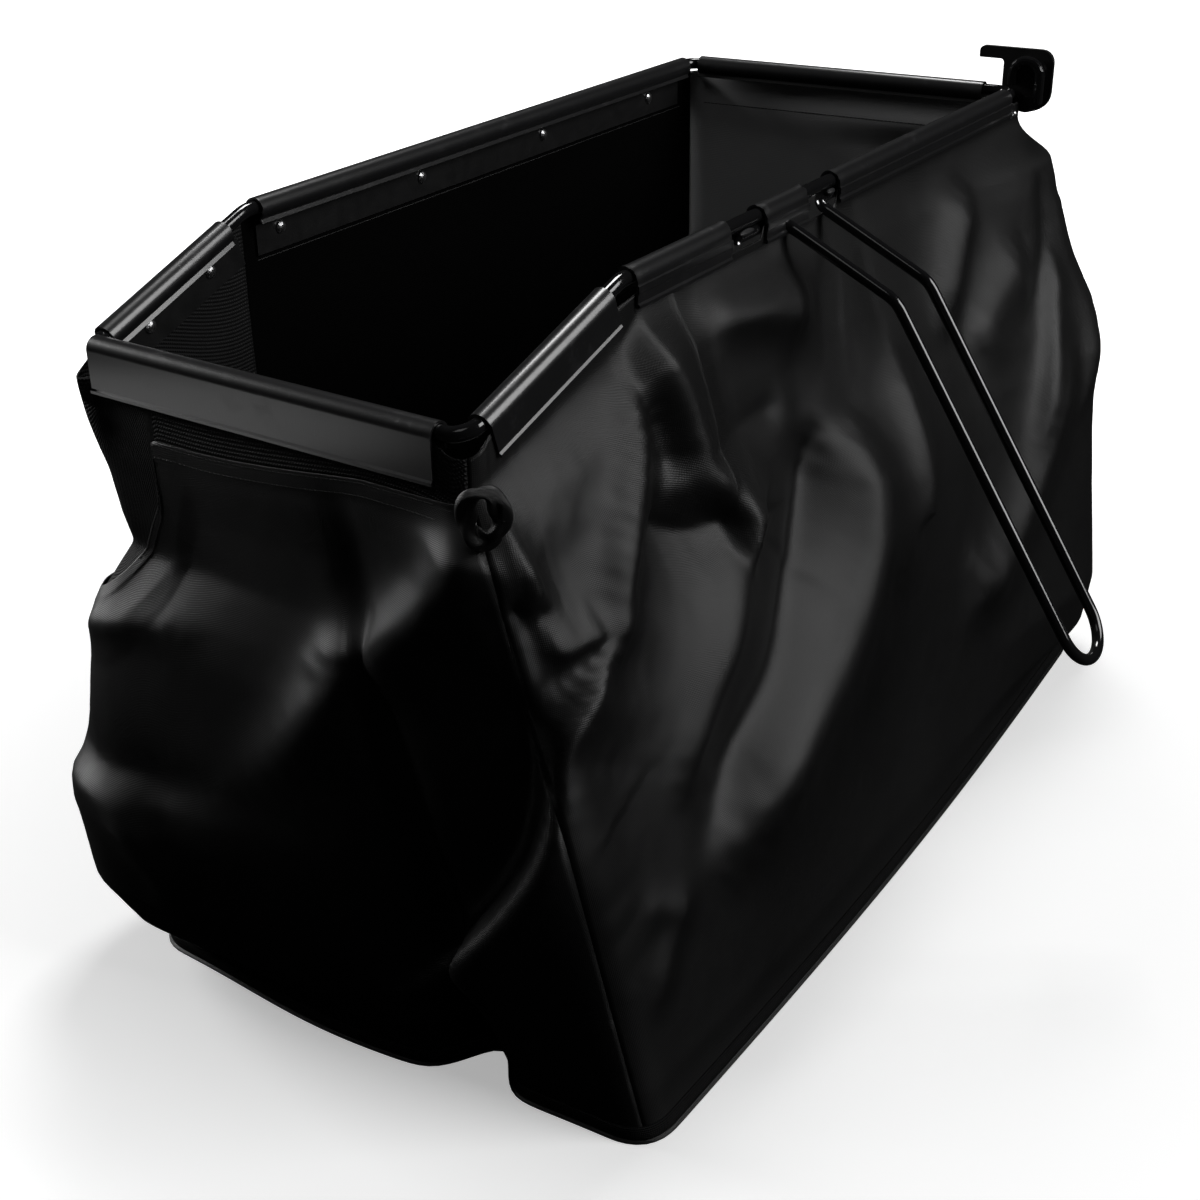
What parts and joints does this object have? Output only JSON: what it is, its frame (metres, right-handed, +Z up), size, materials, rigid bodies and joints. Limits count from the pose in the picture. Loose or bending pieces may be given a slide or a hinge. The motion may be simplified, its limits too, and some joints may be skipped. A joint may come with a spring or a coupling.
{
  "type": "grass catcher",
  "caption": "Soft-sided grass catcher: a slack cloth bag clipped to a bent rod frame with a dropped front, a long rod handle loop on one side and a flat hanger hook at the rear corner.",
  "frame": {"origin": "middle of the underside of the bag's flat base, on the floor", "axes": "+Z up, +Y from the dropped front of the mouth to the rear, +X to the side with the handle"},
  "size_m": [0.5857, 0.8646, 0.5185],
  "materials": {
    "rod_black": "gloss black enamel",
    "clip_black": "smooth semi-gloss extruded plastic",
    "plate_black": "satin black paint",
    "weld_black": "painted weld bead",
    "steel": "bright set rivet",
    "cloth": "tight black woven cloth, coated inside",
    "lining": "dull black woven cloth",
    "mesh_cloth": "stiff ribbed black mesh cloth",
    "tape": "black woven binding tape"
  },
  "bodies": {
    "root": {"frame_rod": "rod_black", "handle_rod": "rod_black", "handle_weld_front": "weld_black", "handle_weld_rear": "weld_black", "hanger_plate": "plate_black", "hanger_eye": "rod_black", "hanger_weld": "weld_black", "clip_front": "clip_black", "clip_right_front": "clip_black", "clip_right_1": "clip_black", "clip_right_2": "clip_black", "clip_right_3": "clip_black", "clip_rear": "clip_black", "clip_left": "clip_black", "clip_left_front": "clip_black", "backing_strip_left": "plate_black", "backing_strip_left_front": "plate_black", "hem_rivet_1": "steel", "hem_rivet_2": "steel", "hem_rivet_3": "steel", "hem_rivet_4": "steel", "hem_rivet_5": "steel", "hem_rivet_6": "steel", "corner_rivet_1": "steel", "corner_rivet_2": "steel", "mesh_panel": "mesh_cloth", "front_panel": "cloth", "left_front_panel": "cloth", "right_panel": "cloth", "rear_panel": "cloth", "left_panel": "lining", "base_panel": "cloth", "base_binding": "tape", "corner_loop": "cloth"}
  },
  "joints": []
}
